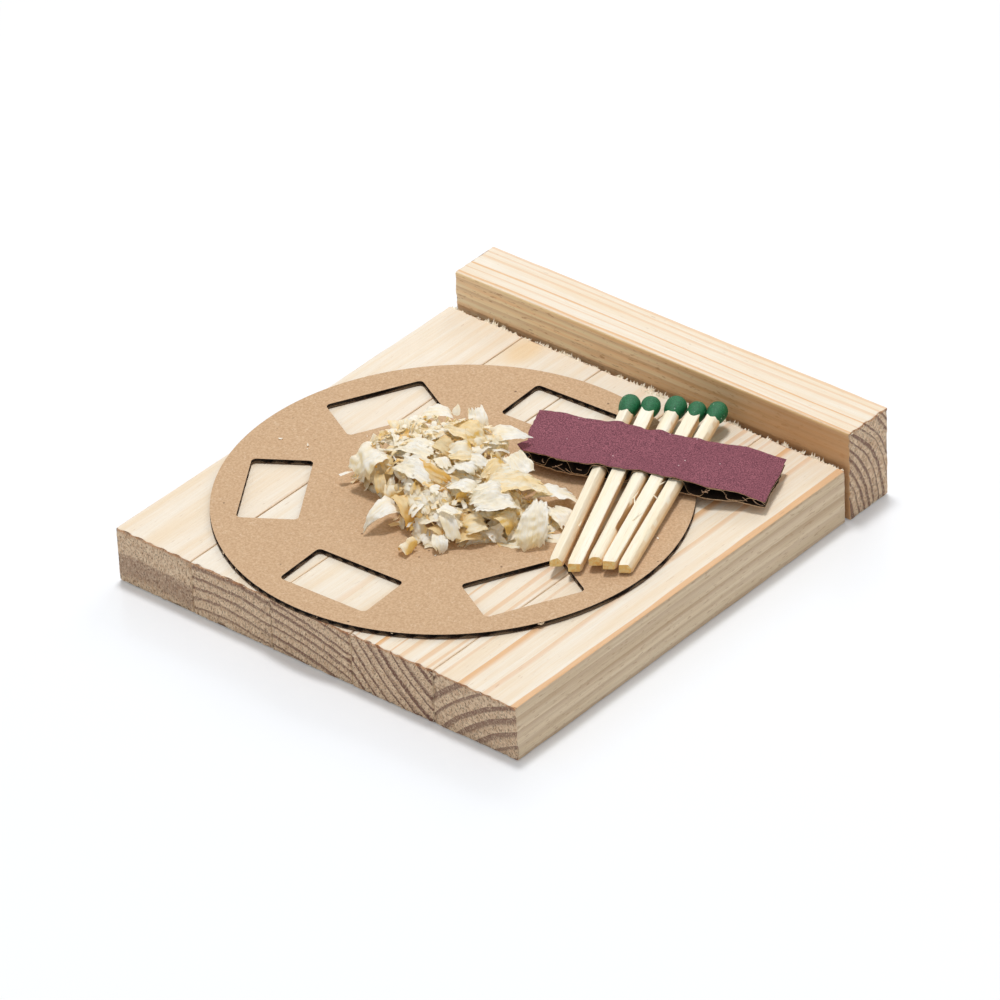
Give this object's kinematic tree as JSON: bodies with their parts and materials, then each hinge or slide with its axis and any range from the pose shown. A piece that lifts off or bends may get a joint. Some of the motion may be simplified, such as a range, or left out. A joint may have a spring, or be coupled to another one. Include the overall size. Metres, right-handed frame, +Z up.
{
  "type": "fire starting kit",
  "caption": "Flat fire starting kit: pine sticks under a slotted card disc that carries wood shavings and a striker strip with matches.",
  "frame": {"origin": "middle of the underside of the row's third stick, on the surface that the kit lies on", "axes": "+X to the right across the row of sticks, +Y along the sticks towards the stick that stands behind them, +Z up"},
  "size_m": [0.1017, 0.1136, 0.0228],
  "materials": {
    "pine": "bare planed softwood with sawn ends",
    "kraft_board": "matt brown corrugated board, edges browned by the cutter",
    "striking_paper": "matt gritty striking coat on paper",
    "splint_wood": "bare split aspen",
    "match_compound": "dried dipped match compound, fine satin grain",
    "shaving_wood": "thin bare wood shavings, half see-through"
  },
  "bodies": {
    "stick_1": {"stick_1": "pine"},
    "stick_2": {"stick_2": "pine"},
    "stick_3": {"stick_3": "pine"},
    "stick_4": {"stick_4": "pine"},
    "stick_5": {"stick_5": "pine"},
    "back_stick": {"back_stick": "pine"},
    "disc": {"disc_bottom_liner": "kraft_board", "disc_flute": "kraft_board", "disc_top_liner": "kraft_board"},
    "tinder": {"shavings_left": "shaving_wood", "shavings_front": "shaving_wood", "shavings_right": "shaving_wood", "shavings_back": "shaving_wood", "shavings_skirt": "shaving_wood", "shavings_ring": "shaving_wood", "shavings_crown": "shaving_wood"},
    "strip": {"strip_bottom_liner": "kraft_board", "strip_flute": "kraft_board", "strip_top_liner": "kraft_board", "striker_paper": "striking_paper"},
    "match_1": {"match_splint_1": "splint_wood", "match_head_1": "match_compound"},
    "match_2": {"match_splint_2": "splint_wood", "match_head_2": "match_compound"},
    "match_3": {"match_splint_3": "splint_wood", "match_head_3": "match_compound"},
    "match_4": {"match_splint_4": "splint_wood", "match_head_4": "match_compound"},
    "match_5": {"match_splint_5": "splint_wood", "match_head_5": "match_compound"}
  },
  "joints": [
    {"name": "stick_1_slide", "type": "slide", "parent": "stick_3", "child": "stick_1", "axis": [0, -1, 0], "range_m": [0, 0.1]},
    {"name": "stick_2_slide", "type": "slide", "parent": "stick_3", "child": "stick_2", "axis": [0, -1, 0], "range_m": [0, 0.1]},
    {"name": "stick_4_slide", "type": "slide", "parent": "stick_3", "child": "stick_4", "axis": [0, -1, 0], "range_m": [0, 0.1]},
    {"name": "stick_5_slide", "type": "slide", "parent": "stick_3", "child": "stick_5", "axis": [0, -1, 0], "range_m": [0, 0.1]},
    {"name": "back_stick_slide", "type": "slide", "parent": "stick_3", "child": "back_stick", "axis": [0, 1, 0], "range_m": [0, 0.1]},
    {"name": "disc_lift", "type": "slide", "parent": "stick_3", "child": "disc", "axis": [0, 0, 1], "range_m": [0, 0.1]},
    {"name": "tinder_lift", "type": "slide", "parent": "disc", "child": "tinder", "axis": [0, 0, 1], "range_m": [0, 0.05]},
    {"name": "strip_lift", "type": "slide", "parent": "disc", "child": "strip", "axis": [0, 0, 1], "range_m": [0, 0.05]},
    {"name": "match_1_slide", "type": "slide", "parent": "strip", "child": "match_1", "axis": [-0.406, 0.9136, 0.0239], "range_m": [-0.0052, 0.0117]},
    {"name": "match_2_slide", "type": "slide", "parent": "strip", "child": "match_2", "axis": [-0.3956, 0.9175, 0.041], "range_m": [-0.0058, 0.0094]},
    {"name": "match_3_slide", "type": "slide", "parent": "strip", "child": "match_3", "axis": [-0.3798, 0.9249, 0.0159], "range_m": [-0.0075, 0.0058]},
    {"name": "match_4_slide", "type": "slide", "parent": "strip", "child": "match_4", "axis": [-0.3539, 0.9352, 0.0149], "range_m": [-0.0072, 0.0043]},
    {"name": "match_5_slide", "type": "slide", "parent": "strip", "child": "match_5", "axis": [-0.3342, 0.9419, 0.0333], "range_m": [-0.0068, 0.0018]}
  ]
}
